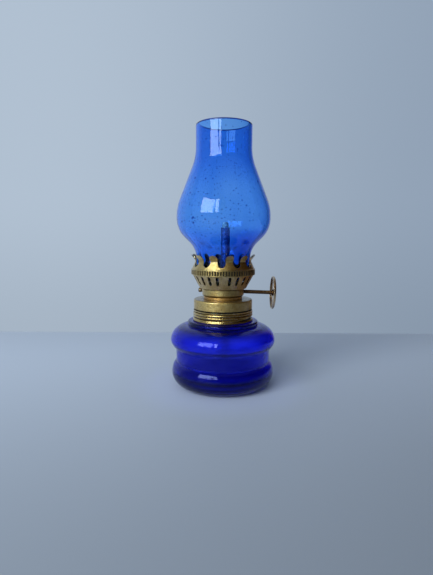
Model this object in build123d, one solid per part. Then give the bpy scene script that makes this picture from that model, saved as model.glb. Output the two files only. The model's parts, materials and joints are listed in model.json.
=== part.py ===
from build123d import *
from math import acos, cos, degrees, radians, sin, tan
import os

# Miniature kerosene lamp: pressed-glass fount, brass collar and burner, round wick, glass chimney.
# Millimetres and degrees. +Z is up, -Y is the front, +X is the side of the winding knob.
# The origin is the centre of the flat foot, on the surface that the lamp stands on.
# Outlines of turned and pressed pieces are drawn as (radius, height).

# ---------------------------------------------------------------- fits
BODY_GAP = 0.05          # between flat faces of pieces that move apart
SEAT_GAP = 0.02          # round a soldered or pressed-in piece
RUN_CLEARANCE = 0.05     # radial, round the turning shaft
WICK_CLEARANCE = 0.07    # radial, round the sliding wick
THREAD_CLEARANCE = 0.1   # radial, between the male and the female thread ring
GRIP_CLEARANCE = 0.1     # radial, between the prongs and the chimney
FOOT_CLEARANCE = 0.2     # radial, between the chimney's foot and the basket's cone

# ---------------------------------------------------------------- fount, thick pressed glass
GLASS_WALL = 2.2
FOOT_THICKNESS = 3.5
FOOT_RADIUS = 17.0
UPPER_RING_RADIUS = 24.5
LOWER_RING_RADIUS = UPPER_RING_RADIUS - 0.5
LOWER_RING_HEIGHT = 6.5
LOWER_RING_RISE = 5.3      # upper half-height of the lower ring
LOWER_RING_SET = 0.5       # how far the lower ring's centre lies inside the waist
WAIST_RADIUS = LOWER_RING_RADIUS - 2.0
UPPER_RING_HEIGHT = 22.1
UPPER_RING_WIDTH = 8.0     # half-width of the upper ring's section
UPPER_RING_RISE = 6.8
UPPER_RING_DROP = 5.7
UPPER_RING_TOP = UPPER_RING_HEIGHT + UPPER_RING_RISE
STEP_HEIGHT = UPPER_RING_TOP + 2.1   # top of the step that carries the collar
STEP_ROUND = 0.8
NECK_RADIUS = 11.3
NECK_BORE_RADIUS = 8.5
NECK_HEIGHT = 3.5          # neck above the step, inside the collar
ROOF_THICKNESS = 2.1       # glass over the reservoir, at the top of the upper ring
SHOULDER_SLOPE = 1.4       # rise of the reservoir's roof towards the neck

# ---------------------------------------------------------------- collar and its cement
COLLAR_RADIUS = 13.95
COLLAR_HEIGHT = 5.1
COLLAR_WALL = 0.85         # sheet plus the depth of its rolled thread
COLLAR_HEM = 0.2           # how far the foot of the collar flares
THREAD_PITCH = 1.25
THREAD_DEPTH = 0.25        # depth of the grooves between the thread's outer beads
THREAD_GROOVES = 2
TOP_BEAD = 1.5             # from the collar's lip to its first groove
CEMENT_HEIGHT = 2.4
CEMENT_GAP = 0.05

# ---------------------------------------------------------------- sealing washer
WASHER_THICKNESS = 0.55
WASHER_INSET = 0.35        # how far the washer's edge lies inside the collar's

# ---------------------------------------------------------------- burner: cap, thread ring, drum
CAP_RADIUS = 13.75
CAP_HEIGHT = 4.3
CAP_ROUND = 0.7
CAP_SHEET = 0.5
THREAD_RING_WALL = 0.45
THREAD_ENGAGEMENT = 2.5    # two turns of the thread
VENT_RADIUS = 0.75
VENT_PLACE = 6.0           # from the axis, towards the front
DRUM_RADIUS = 9.8
DRUM_HEIGHT = 5.0
DRUM_SHEET = 0.4
COVE_RADIUS = 9.05         # the drawn-in foot of the drum
COVE_HEIGHT = 1.3
COVE_ROUND = 0.35
FLOOR_OPENING_RADIUS = 7.6

# ---------------------------------------------------------------- burner: air basket
BASKET_FOOT_RADIUS = 10.75
MOUTH_ROOM = 1.75          # from the chimney's foot to the outside of the basket's mouth
BASKET_HEIGHT = 6.5
BASKET_SHEET = 0.4
BASKET_LIP = 2.2           # upright lip inside the crown's band
BASKET_ROUND = 0.45
SLOT_COUNT = 22
SLOT_PITCH = 16.0          # degrees, apart from the wider panel at the front
SLOT_WIDTH = 1.35
SLOT_FOOT = 2.1            # from the basket's foot to the slot's lower end
SLOT_HEAD = 6.1            # from the basket's foot to the slot's upper end

# ---------------------------------------------------------------- burner: crown
BAND_WALL = 0.6
BAND_HEIGHT = 2.9
BAND_ROUND = 0.35
RIB_COUNT = 76
RIB_GROOVE_RADIUS = 0.38
RIB_GROOVE_DEPTH = 0.34
RIB_LAND = 0.3             # plain edge below and above the ribs
CROWN_SHEET = 0.35
PRONG_COUNT = 12
PRONG_PHASE = 11.0         # degrees from the front to the first prong, towards the knob
PRONG_WAIST = 3.45         # from the band's top edge to the narrowest ring of the prongs
PRONG_HEIGHT = 6.1
PRONG_GAP_FOOT = 0.8       # from the band's top edge to the foot of each gap
PRONG_GAP_RADIUS = 1.8     # half the gap between two prongs
PRONG_HEAD_HEIGHT = 4.35   # where the rounded heads are widest
PRONG_HEAD_RADIUS = 1.85
PRONG_FLARE = 2.1          # how far the tips stand out from the waist
PRONG_BEND = 1.1           # bend radius at the waist

# ---------------------------------------------------------------- burner: diffuser plate
PLATE_SHEET = 0.4
PLATE_HOLE_RADIUS = 0.9
PLATE_RINGS = ((5.6, 14), (9.2, 22))   # radius and number of holes

# ---------------------------------------------------------------- wick tube and wick
TUBE_RADIUS = 2.1
TUBE_WALL = 0.35
TUBE_OFFSET = 0.9          # the tube stands off the lamp's axis, towards the knob
TUBE_DROP = 3.2            # below the cap's top
TUBE_RISE = 32.85          # above the cap's top
TUBE_LIP = 0.12            # rolled lip at the tube's mouth
TUBE_LIP_HEIGHT = 0.5
WICK_SHOWS = 3.0
WICK_LENGTH = 68.0
WICK_ROUND = 0.9

# ---------------------------------------------------------------- winder
SHAFT_RADIUS = 0.9
SHAFT_BEHIND = 4.1         # the shaft passes this far behind the tube
SHAFT_ABOVE = 3.1          # above the cap's top, at the tube
SHAFT_DROOP = 1.8          # degrees, down towards the knob
SHAFT_TAIL = 12.6          # from the tube to the swaged end
SHAFT_REACH = 24.4         # from the tube to the peened end in the knob
SWAGE_RADIUS = 1.05
SWAGE_LENGTH = 1.2
WHEEL_THICKNESS = 1.4
WHEEL_TEETH = 12
TOOTH_HEIGHT = 0.4
KNOB_RADIUS = 7.9
KNOB_SHEET = 0.5
KNOB_DISH = 0.7            # depth of the knob's turned rim
KNOB_ROUND = 0.5
PEEN_LENGTH = 0.7          # of the shaft's end beyond the knob
KNOB_COLLAR_RADIUS = 1.5
KNOB_COLLAR_LENGTH = 0.7
BRACKET_SHEET = 0.4
BRACKET_SIDE_GAP = 0.25    # between the wheel and each ear
BRACKET_HEIGHT = 3.2
BRACKET_END_GAP = 0.3      # between the wheel and the bracket's back
WINDOW_MARGIN = 0.45       # round the wheel, in the tube's window

# ---------------------------------------------------------------- chimney
CHIMNEY_WALL = 1.6
FITTER_RADIUS = 12.5       # the straight foot that the prongs hold
CHIMNEY_RIM_RADIUS = 12.75
BELLY_RADIUS = 21.55
CHIMNEY_HEIGHT = 69.45
SHOULDER_LINE = 54.95      # height on the chimney where the taper would meet the rim's tube
TAPER_ANGLE = 21.4         # slope of the long taper, from the axis
BELLY_LINE = 22.65         # height where the lower slope would meet the belly
LOWER_SLOPE = 45.0
RIM_FLARE_RADIUS = 25.0
SHOULDER_BEND_RADIUS = 22.0
BELLY_BEND_RADIUS = 12.0
FITTER_BEND_RADIUS = 10.0
RIM_ROUND = 0.7

# ---------------------------------------------------------------- stacking, from the foot upwards
COLLAR_TOP = STEP_HEIGHT + COLLAR_HEIGHT
WASHER_FOOT = COLLAR_TOP + BODY_GAP
WASHER_TOP = WASHER_FOOT + WASHER_THICKNESS
CAP_FOOT = WASHER_TOP + BODY_GAP
CAP_TOP = CAP_FOOT + CAP_HEIGHT
BASKET_FOOT = CAP_TOP + DRUM_HEIGHT
BAND_FOOT = BASKET_FOOT + BASKET_HEIGHT
BAND_TOP = BAND_FOOT + BAND_HEIGHT
TUBE_FOOT = CAP_TOP - TUBE_DROP
TUBE_TOP = CAP_TOP + TUBE_RISE
WICK_TOP = TUBE_TOP + WICK_SHOWS
SHAFT_HEIGHT = CAP_TOP + SHAFT_ABOVE

# ---------------------------------------------------------------- sizes that follow from fits
COLLAR_BORE = COLLAR_RADIUS - COLLAR_WALL
THREAD_RING_RADIUS = COLLAR_BORE - THREAD_CLEARANCE
TUBE_BORE = TUBE_RADIUS - TUBE_WALL
WICK_RADIUS = TUBE_BORE - WICK_CLEARANCE
WHEEL_RADIUS = SHAFT_BEHIND - WICK_RADIUS - WICK_CLEARANCE
SHAFT_BORE = SHAFT_RADIUS + RUN_CLEARANCE
KNOB_PLACE = SHAFT_REACH - PEEN_LENGTH - KNOB_SHEET   # from the tube to the knob's inner face
BASKET_TOP_RADIUS = FITTER_RADIUS + MOUTH_ROOM
BAND_BORE = BASKET_TOP_RADIUS + SEAT_GAP
BAND_RADIUS = BAND_BORE + BAND_WALL
WAIST_BORE = FITTER_RADIUS + GRIP_CLEARANCE

# The chimney stands on the plate where the basket's cone is just wide enough for its foot.
CONE_SLOPE = (BASKET_TOP_RADIUS - BASKET_FOOT_RADIUS) / BASKET_HEIGHT
CONE_WALL = BASKET_SHEET * (1 + CONE_SLOPE ** 2) ** 0.5   # the cone's sheet, measured level
CONE_FOOT_BORE = BASKET_FOOT_RADIUS - CONE_WALL
CHIMNEY_FOOT = BASKET_FOOT + (FITTER_RADIUS + FOOT_CLEARANCE - CONE_FOOT_BORE) / CONE_SLOPE
PLATE_TOP = CHIMNEY_FOOT - BODY_GAP
PLATE_FOOT = PLATE_TOP - PLATE_SHEET
PLATE_RADIUS = CONE_FOOT_BORE + (PLATE_FOOT - BASKET_FOOT) * CONE_SLOPE - SEAT_GAP

TUBE_AXIS = Pos(TUBE_OFFSET, 0, 0)
# Frame of the winder: origin beside the tube, local Z along the shaft towards the knob.
WINDER = Plane(
    origin=(TUBE_OFFSET, SHAFT_BEHIND, SHAFT_HEIGHT),
    x_dir=(0, 1, 0),
    z_dir=(cos(radians(SHAFT_DROOP)), 0, -sin(radians(SHAFT_DROOP))),
)


# ---------------------------------------------------------------- helpers
def turned(section, place=Location()):
    """Solid of revolution about Z from a face drawn as (radius, height)."""
    return place * revolve(Plane.XZ * section, Axis.Z)


def closed_section(points, radii):
    """Face inside a closed outline of straight lines, each corner with its own bend radius."""
    return make_face(FilletPolyline(*points, radius=radii, close=True))


def ring(inner, outer, foot, top, place=Location()):
    """Plain ring or tube between two radii and two heights."""
    low = Pos(0, 0, foot)
    height = top - foot
    wall = extrude(Circle(outer) - Circle(inner), height) if inner > 0 else extrude(Circle(outer), height)
    return place * (low * wall)


def sheet_section(points, radii, sheet):
    """Section of a pressed sheet: its outer line with bends, and the same line one sheet inside."""
    outer = FilletPolyline(*points, radius=radii)
    return make_face(offset(outer, amount=sheet, side=Side.LEFT))


def radial_cutter(sketch, angle, reach):
    """Prism of a sketch (across, up), pushed out from the axis at an angle from the front."""
    prism = extrude(Plane.XZ * sketch, reach)
    return Rot(0, 0, angle) * prism


# ---------------------------------------------------------------- fount
def fount_side(inset, floor, top):
    """Side of the fount from its floor up to the top of the upper ring, drawn in by an inset."""
    waist = WAIST_RADIUS - inset
    foot_width = LOWER_RING_RADIUS - FOOT_RADIUS - inset
    foot = EllipticalCenterArc(
        (FOOT_RADIUS, LOWER_RING_HEIGHT), foot_width, LOWER_RING_HEIGHT - floor, 270, arc_size=90
    )
    ring_centre = waist - LOWER_RING_SET
    ring_width = LOWER_RING_RADIUS - inset - ring_centre
    ring_end = degrees(acos(LOWER_RING_SET / ring_width))
    lower_ring = EllipticalCenterArc(
        (ring_centre, LOWER_RING_HEIGHT), ring_width, LOWER_RING_RISE, 0, arc_size=ring_end
    )
    upper_centre = UPPER_RING_RADIUS - UPPER_RING_WIDTH
    upper_width = UPPER_RING_WIDTH - inset
    crease = degrees(acos((waist - upper_centre) / upper_width))
    under = EllipticalCenterArc(
        (upper_centre, UPPER_RING_HEIGHT), upper_width, UPPER_RING_DROP, -crease, arc_size=crease
    )
    over = EllipticalCenterArc(
        (upper_centre, UPPER_RING_HEIGHT), upper_width, top - UPPER_RING_HEIGHT, 0, arc_size=90
    )
    return [foot, lower_ring, Line(lower_ring @ 1, under @ 0), under, over]


def make_fount():
    """Hollow glass fount: flat foot, two bulging rings with a waist between, step and neck."""
    outside = fount_side(0, 0, UPPER_RING_TOP)
    step_corner = UPPER_RING_RADIUS - UPPER_RING_WIDTH
    neck_top = STEP_HEIGHT + NECK_HEIGHT
    step = FilletPolyline(
        outside[-1] @ 1,
        (step_corner, STEP_HEIGHT),
        (NECK_RADIUS, STEP_HEIGHT),
        (NECK_RADIUS, neck_top),
        radius=[STEP_ROUND, 0],
    )
    axis = Polyline(step @ 1, (0, neck_top), (0, 0), (FOOT_RADIUS, 0))
    glass = turned(make_face(outside + [step, axis]))
    roof = UPPER_RING_TOP - ROOF_THICKNESS
    inside = fount_side(GLASS_WALL, FOOT_THICKNESS, roof)
    bore = Polyline(
        inside[-1] @ 1,
        (NECK_BORE_RADIUS, roof + SHOULDER_SLOPE),
        (NECK_BORE_RADIUS, neck_top + 1),
        (0, neck_top + 1),
        (0, FOOT_THICKNESS),
        inside[0] @ 0,
    )
    return glass - turned(make_face(inside + [bore]))


# ---------------------------------------------------------------- collar, cement, washer
def make_collar():
    """Brass collar: a straight wall with the beads of a rolled thread, and a flared hem."""
    wall = ring(COLLAR_BORE, COLLAR_RADIUS, STEP_HEIGHT + BODY_GAP, COLLAR_TOP)
    hem_height = COLLAR_HEIGHT - TOP_BEAD - THREAD_GROOVES * THREAD_PITCH
    hem = closed_section(
        [
            (COLLAR_BORE, STEP_HEIGHT + BODY_GAP),
            (COLLAR_RADIUS + COLLAR_HEM, STEP_HEIGHT + BODY_GAP),
            (COLLAR_RADIUS + COLLAR_HEM, STEP_HEIGHT + hem_height / 2),
            (COLLAR_RADIUS, STEP_HEIGHT + hem_height),
            (COLLAR_BORE, STEP_HEIGHT + hem_height),
        ],
        [0, COLLAR_HEM / 2, COLLAR_HEM, 0, 0],
    )
    collar = wall + turned(hem)
    collar = fillet(collar.edges().group_by(Axis.Z)[-1].sort_by(SortBy.RADIUS)[-1], THREAD_DEPTH)
    for groove in range(THREAD_GROOVES):
        height = COLLAR_TOP - TOP_BEAD - groove * THREAD_PITCH
        groove_tool = Pos(COLLAR_RADIUS, height) * Circle(THREAD_DEPTH)
        collar -= turned(groove_tool)
    return collar


def make_cement():
    """Ring of plaster that holds the collar on the glass neck."""
    inner = NECK_RADIUS + CEMENT_GAP
    outer = COLLAR_BORE - CEMENT_GAP
    return ring(inner, outer, STEP_HEIGHT, STEP_HEIGHT + CEMENT_HEIGHT)


def make_washer():
    """Sealing washer on the collar's lip, round the thread ring."""
    inner = THREAD_RING_RADIUS + RUN_CLEARANCE
    return ring(inner, COLLAR_RADIUS - WASHER_INSET, WASHER_FOOT, WASHER_TOP)


# ---------------------------------------------------------------- burner base
def make_thread_ring():
    """Male thread ring, from the collar's bore up to the cap's top plate."""
    foot = COLLAR_TOP - THREAD_ENGAGEMENT
    inner = THREAD_RING_RADIUS - THREAD_RING_WALL
    tube = ring(inner, THREAD_RING_RADIUS, foot, CAP_TOP - CAP_SHEET)
    lead_in = tube.edges().group_by(Axis.Z)[0].sort_by(SortBy.RADIUS)[-1]
    return chamfer(lead_in, THREAD_RING_WALL / 3)


def make_cap():
    """Drawn brass cap: open below, with a hole for the wick tube and a small vent in its top."""
    shell = turned(sheet_section(
        [(CAP_RADIUS, CAP_FOOT), (CAP_RADIUS, CAP_TOP), (0, CAP_TOP)], [CAP_ROUND], CAP_SHEET
    ))
    tube_hole = ring(0, TUBE_RADIUS + SEAT_GAP, CAP_FOOT, CAP_TOP + 1, TUBE_AXIS)
    vent = ring(0, VENT_RADIUS, CAP_FOOT, CAP_TOP + 1, Pos(0, -VENT_PLACE, 0))
    return shell - tube_hole - vent


def make_drum():
    """Drum that carries the basket: drawn in to a cove at its foot, open top and bottom."""
    cove_top = CAP_TOP + COVE_HEIGHT
    shell = turned(sheet_section(
        [
            (FLOOR_OPENING_RADIUS, CAP_TOP),
            (COVE_RADIUS, CAP_TOP),
            (COVE_RADIUS, cove_top),
            (DRUM_RADIUS, cove_top + DRUM_RADIUS - COVE_RADIUS),
            (DRUM_RADIUS, BASKET_FOOT),
            (FLOOR_OPENING_RADIUS, BASKET_FOOT),
        ],
        [0, COVE_ROUND, COVE_ROUND + DRUM_SHEET, DRUM_SHEET],
        DRUM_SHEET,
    ))
    return shell - shaft_hole()


def shaft_hole():
    """Hole for the shaft, through both walls of the drum and the bracket's ears."""
    reach = DRUM_RADIUS + SHAFT_TAIL
    return WINDER.location * ring(0, SHAFT_BORE, -reach, reach)


# ---------------------------------------------------------------- air basket
def slot_angles():
    """Slots at one pitch all round, apart from the wider panel that faces the front."""
    front_panel = 360 - (SLOT_COUNT - 1) * SLOT_PITCH
    return [front_panel / 2 + slot * SLOT_PITCH for slot in range(SLOT_COUNT)]


def make_basket():
    """Conical air basket with upright slots, and a lip that the crown is pressed over."""
    lip_top = BAND_FOOT + BASKET_LIP
    shell = turned(sheet_section(
        [
            (FLOOR_OPENING_RADIUS, BASKET_FOOT),
            (BASKET_FOOT_RADIUS, BASKET_FOOT),
            (BASKET_TOP_RADIUS, BAND_FOOT),
            (BASKET_TOP_RADIUS, lip_top),
        ],
        [BASKET_ROUND, 0],
        BASKET_SHEET,
    ))
    length = SLOT_HEAD - SLOT_FOOT
    middle = BASKET_FOOT + (SLOT_FOOT + SLOT_HEAD) / 2
    slot = Pos(0, middle) * SlotOverall(length, SLOT_WIDTH, rotation=90)
    tools = [radial_cutter(slot, angle, BAND_RADIUS) for angle in slot_angles()]
    return shell - tools


# ---------------------------------------------------------------- crown
def prong_gap():
    """Outline of one gap between prongs: a round foot, straight sides, and room for two heads."""
    foot = BAND_TOP + PRONG_GAP_FOOT
    middle = foot + PRONG_GAP_RADIUS
    head = BAND_TOP + PRONG_HEAD_HEIGHT
    side = PRONG_GAP_RADIUS
    reach = side + PRONG_HEAD_RADIUS
    top = BAND_TOP + PRONG_HEIGHT + 1
    outline = [
        ThreePointArc((-side, middle), (0, foot), (side, middle)),
        Line((side, middle), (side, head)),
        RadiusArc((side, head), (reach, head + PRONG_HEAD_RADIUS), PRONG_HEAD_RADIUS),
        Polyline(
            (reach, head + PRONG_HEAD_RADIUS), (reach, top), (-reach, top), (-reach, head + PRONG_HEAD_RADIUS)
        ),
        RadiusArc((-reach, head + PRONG_HEAD_RADIUS), (-side, head), PRONG_HEAD_RADIUS),
        Line((-side, head), (-side, middle)),
    ]
    return make_face(outline)


def make_crown():
    """Pressed crown: ribbed band below, and a ring of sprung prongs with rounded, flared heads."""
    band = ring(BAND_BORE, BAND_RADIUS, BAND_FOOT, BAND_TOP)
    band = fillet(band.edges().group_by(Axis.Z)[-1].sort_by(SortBy.RADIUS)[-1], BAND_ROUND)
    groove_place = BAND_RADIUS + RIB_GROOVE_RADIUS - RIB_GROOVE_DEPTH
    groove = Pos(groove_place, 0, 0) * ring(
        0, RIB_GROOVE_RADIUS, BAND_FOOT + RIB_LAND, BAND_TOP - RIB_LAND - BAND_ROUND
    )
    band -= [Rot(0, 0, rib * 360 / RIB_COUNT) * groove for rib in range(RIB_COUNT)]
    waist = WAIST_BORE + CROWN_SHEET
    root = BAND_RADIUS - BAND_ROUND
    sheet = turned(sheet_section(
        [
            (root, BAND_TOP - CROWN_SHEET),
            (root, BAND_TOP),
            (waist, BAND_TOP + PRONG_WAIST),
            (waist + PRONG_FLARE, BAND_TOP + PRONG_HEIGHT),
        ],
        [0, PRONG_BEND],
        CROWN_SHEET,
    ))
    tools = []
    for prong in range(PRONG_COUNT):
        angle = PRONG_PHASE + (prong + 0.5) * 360 / PRONG_COUNT
        tools.append(radial_cutter(prong_gap(), angle, waist + PRONG_FLARE + 1))
    return band + (sheet - tools)


# ---------------------------------------------------------------- diffuser plate
def make_plate():
    """Perforated diffuser plate that the chimney stands on, with a hole for the wick tube."""
    plate = ring(0, PLATE_RADIUS, PLATE_FOOT, PLATE_TOP)
    hole = ring(0, PLATE_HOLE_RADIUS, PLATE_FOOT - 1, PLATE_TOP + 1)
    tools = [ring(0, TUBE_RADIUS + SEAT_GAP, PLATE_FOOT - 1, PLATE_TOP + 1, TUBE_AXIS)]
    for radius, count in PLATE_RINGS:
        tools += [Rot(0, 0, k * 360 / count) * Pos(radius, 0, 0) * hole for k in range(count)]
    return plate - tools


# ---------------------------------------------------------------- wick tube and wick
def make_tube():
    """Round wick tube with a rolled lip, and a window behind it where the wheel bites the wick."""
    lip_foot = TUBE_TOP - TUBE_LIP_HEIGHT
    tube = ring(TUBE_BORE, TUBE_RADIUS, TUBE_FOOT, TUBE_TOP, TUBE_AXIS)
    lip = ring(TUBE_BORE, TUBE_RADIUS + TUBE_LIP, lip_foot, TUBE_TOP, TUBE_AXIS)
    width = WHEEL_THICKNESS + WINDOW_MARGIN
    depth = SHAFT_BEHIND - TUBE_RADIUS
    height = 2 * ((WHEEL_RADIUS ** 2 - depth ** 2) ** 0.5 + WINDOW_MARGIN)
    window = Pos(TUBE_OFFSET, TUBE_RADIUS, SHAFT_HEIGHT) * Box(width, TUBE_RADIUS, height)
    return tube + lip - window


def make_wick():
    """Braided round wick, from near the reservoir's floor to just above the tube's mouth."""
    wick = ring(0, WICK_RADIUS, WICK_TOP - WICK_LENGTH, WICK_TOP, TUBE_AXIS)
    return fillet(wick.edges().group_by(Axis.Z)[-1], WICK_ROUND)


# ---------------------------------------------------------------- winder
def make_shaft():
    """Shaft with a swaged end on the left, and an end peened over the knob on the right."""
    shaft = ring(0, SHAFT_RADIUS, -SHAFT_TAIL, SHAFT_REACH)
    shaft += ring(0, SWAGE_RADIUS, -SHAFT_TAIL, SWAGE_LENGTH - SHAFT_TAIL)
    knob_back = KNOB_PLACE + KNOB_SHEET + SEAT_GAP
    shaft += ring(0, SWAGE_RADIUS, knob_back, SHAFT_REACH)
    ends = shaft.edges().group_by(Axis.Z)
    shaft = chamfer([ends[0][0], ends[-1][0]], (SWAGE_RADIUS - SHAFT_RADIUS) * 2)
    return WINDER.location * shaft


def make_wheel():
    """Toothed wheel that bites into the wick through the tube's window."""
    root = WHEEL_RADIUS - TOOTH_HEIGHT
    pitch = 360 / WHEEL_TEETH
    corners = []
    for tooth in range(WHEEL_TEETH):
        for part, radius in ((-0.3, root), (-0.12, WHEEL_RADIUS), (0.12, WHEEL_RADIUS), (0.3, root)):
            angle = radians((tooth + part) * pitch)
            corners.append((radius * cos(angle), radius * sin(angle)))
    blank = make_face(Polyline(*corners, close=True)) - Circle(SHAFT_RADIUS + SEAT_GAP)
    wheel = extrude(Pos(0, 0, -WHEEL_THICKNESS / 2) * blank, WHEEL_THICKNESS)
    return WINDER.location * wheel


def make_bracket():
    """Bent bracket behind the tube: two ears that carry the shaft beside the wheel."""
    half = WHEEL_THICKNESS / 2 + BRACKET_SIDE_GAP
    back = SHAFT_BEHIND + WHEEL_RADIUS + BRACKET_END_GAP
    outer = Polyline(
        (-half - BRACKET_SHEET, 0),
        (-half - BRACKET_SHEET, back + BRACKET_SHEET),
        (half + BRACKET_SHEET, back + BRACKET_SHEET),
        (half + BRACKET_SHEET, 0),
        close=True,
    )
    inner = Polyline((-half, -1), (-half, back), (half, back), (half, -1), close=True)
    strip = extrude(make_face(outer) - make_face(inner), BRACKET_HEIGHT)
    bracket = Pos(TUBE_OFFSET, 0, SHAFT_HEIGHT - BRACKET_HEIGHT / 2) * strip
    tube = ring(0, TUBE_RADIUS + SEAT_GAP, TUBE_FOOT, TUBE_TOP, TUBE_AXIS)
    return bracket - tube - shaft_hole()


def make_knob():
    """Thin dished knob, its rim turned towards the lamp."""
    back = KNOB_PLACE + KNOB_SHEET
    section = sheet_section(
        [(KNOB_RADIUS, back - KNOB_DISH - KNOB_SHEET), (KNOB_RADIUS, back), (0, back)],
        [KNOB_ROUND + KNOB_SHEET / 2],
        KNOB_SHEET,
    )
    disc = turned(section) - ring(0, SHAFT_RADIUS + SEAT_GAP, KNOB_PLACE - 1, back + 1)
    return WINDER.location * disc


def make_knob_collar():
    """Small collar on the shaft that backs the knob."""
    foot = KNOB_PLACE - SEAT_GAP - KNOB_COLLAR_LENGTH
    return ring(SHAFT_RADIUS + SEAT_GAP, KNOB_COLLAR_RADIUS, foot, KNOB_PLACE - SEAT_GAP, WINDER.location)


# ---------------------------------------------------------------- chimney
def chimney_side(inset):
    """Side of the chimney from rim to foot, drawn in by an inset: tube, taper, belly, fitter."""
    taper_shift = inset * tan(radians(TAPER_ANGLE / 2))
    lower_shift = inset * tan(radians(LOWER_SLOPE / 2))
    rim = CHIMNEY_RIM_RADIUS - inset
    belly = BELLY_RADIUS - inset
    fitter = FITTER_RADIUS - inset
    taper_drop = (BELLY_RADIUS - CHIMNEY_RIM_RADIUS) / tan(radians(TAPER_ANGLE))
    lower_drop = (BELLY_RADIUS - FITTER_RADIUS) / tan(radians(LOWER_SLOPE))
    return FilletPolyline(
        (rim, CHIMNEY_FOOT + CHIMNEY_HEIGHT),
        (rim, CHIMNEY_FOOT + SHOULDER_LINE - taper_shift),
        (belly, CHIMNEY_FOOT + SHOULDER_LINE - taper_drop - taper_shift),
        (belly, CHIMNEY_FOOT + BELLY_LINE + lower_shift),
        (fitter, CHIMNEY_FOOT + BELLY_LINE - lower_drop + lower_shift),
        (fitter, CHIMNEY_FOOT),
        radius=[
            RIM_FLARE_RADIUS + inset,
            SHOULDER_BEND_RADIUS - inset,
            BELLY_BEND_RADIUS - inset,
            FITTER_BEND_RADIUS + inset,
        ],
    )


def make_chimney():
    """Blown glass chimney: straight fitter, bulging belly, long taper and a fire-polished rim."""
    outside = chimney_side(0)
    inside = chimney_side(CHIMNEY_WALL)
    section = make_face([outside, inside, Line(outside @ 0, inside @ 0), Line(outside @ 1, inside @ 1)])
    glass = turned(section)
    return fillet(glass.edges().group_by(Axis.Z)[-1], RIM_ROUND)


# ---------------------------------------------------------------- nodes
NODES = {
    "fount": make_fount,
    "collar": make_collar,
    "collar_cement": make_cement,
    "sealing_washer": make_washer,
    "thread_ring": make_thread_ring,
    "burner_cap": make_cap,
    "burner_drum": make_drum,
    "air_basket": make_basket,
    "crown": make_crown,
    "diffuser_plate": make_plate,
    "wick_tube": make_tube,
    "shaft_bracket": make_bracket,
    "winder_shaft": make_shaft,
    "wick_wheel": make_wheel,
    "knob": make_knob,
    "knob_collar": make_knob_collar,
    "wick": make_wick,
    "chimney": make_chimney,
}

os.makedirs("parts", exist_ok=True)
for node, make in NODES.items():
    export_step(make(), f"parts/{node}.step")
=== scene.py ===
import json
import math

import bpy
from mathutils import Matrix, Vector

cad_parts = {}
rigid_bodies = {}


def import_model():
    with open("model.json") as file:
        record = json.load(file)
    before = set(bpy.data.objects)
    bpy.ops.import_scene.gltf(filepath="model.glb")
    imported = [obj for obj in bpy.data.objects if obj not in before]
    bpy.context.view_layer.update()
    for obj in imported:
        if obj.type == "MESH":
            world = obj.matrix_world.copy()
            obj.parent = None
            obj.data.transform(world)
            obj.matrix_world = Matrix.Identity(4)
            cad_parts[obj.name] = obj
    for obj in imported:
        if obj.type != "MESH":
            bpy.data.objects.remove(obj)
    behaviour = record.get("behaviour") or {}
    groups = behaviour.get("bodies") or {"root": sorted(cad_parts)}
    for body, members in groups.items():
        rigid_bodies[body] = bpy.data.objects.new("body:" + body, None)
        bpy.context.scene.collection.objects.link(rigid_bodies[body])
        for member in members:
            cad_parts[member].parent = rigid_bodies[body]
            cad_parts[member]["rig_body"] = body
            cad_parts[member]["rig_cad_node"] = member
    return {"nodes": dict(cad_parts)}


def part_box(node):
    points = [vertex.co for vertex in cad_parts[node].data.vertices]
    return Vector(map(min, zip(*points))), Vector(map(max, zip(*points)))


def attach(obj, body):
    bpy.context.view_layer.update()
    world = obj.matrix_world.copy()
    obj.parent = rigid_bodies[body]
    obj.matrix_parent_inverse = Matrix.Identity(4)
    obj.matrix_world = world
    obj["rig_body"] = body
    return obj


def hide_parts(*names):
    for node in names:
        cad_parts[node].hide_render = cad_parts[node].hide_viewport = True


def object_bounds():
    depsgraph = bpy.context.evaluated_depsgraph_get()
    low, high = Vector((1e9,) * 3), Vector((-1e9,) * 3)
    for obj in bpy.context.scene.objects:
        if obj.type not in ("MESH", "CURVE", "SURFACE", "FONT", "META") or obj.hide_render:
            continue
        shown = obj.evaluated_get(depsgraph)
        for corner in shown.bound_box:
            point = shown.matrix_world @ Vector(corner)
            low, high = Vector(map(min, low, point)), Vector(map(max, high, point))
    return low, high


bl_info = {
    "name": "Miniature Oil Lamp",
    "version": (1, 0, 0),
    "blender": (4, 5, 0),
    "location": "View3D > Sidebar > Oil Lamp",
    "description": "Dresses the parts of a miniature glass oil lamp and sets its studio stage",
    "category": "Object",
}

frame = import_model()
CAD_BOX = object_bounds()

# Metres and degrees. +Z is up, -Y is the front, +X is the side of the winding knob.
MM = 0.001
TURN = 2 * math.pi

WELD = 1e-6  # points nearer than this are one point
SEAM = 2e-6  # points nearer than this to the seam's half plane lie on it
# Edges that bend by more than this many degrees stay sharp.
GLASS_CREASE = 40.0
BEAD_CREASE = 40.0
TURNED_CREASE = 35.0
WICK_CREASE = 60.0


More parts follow.
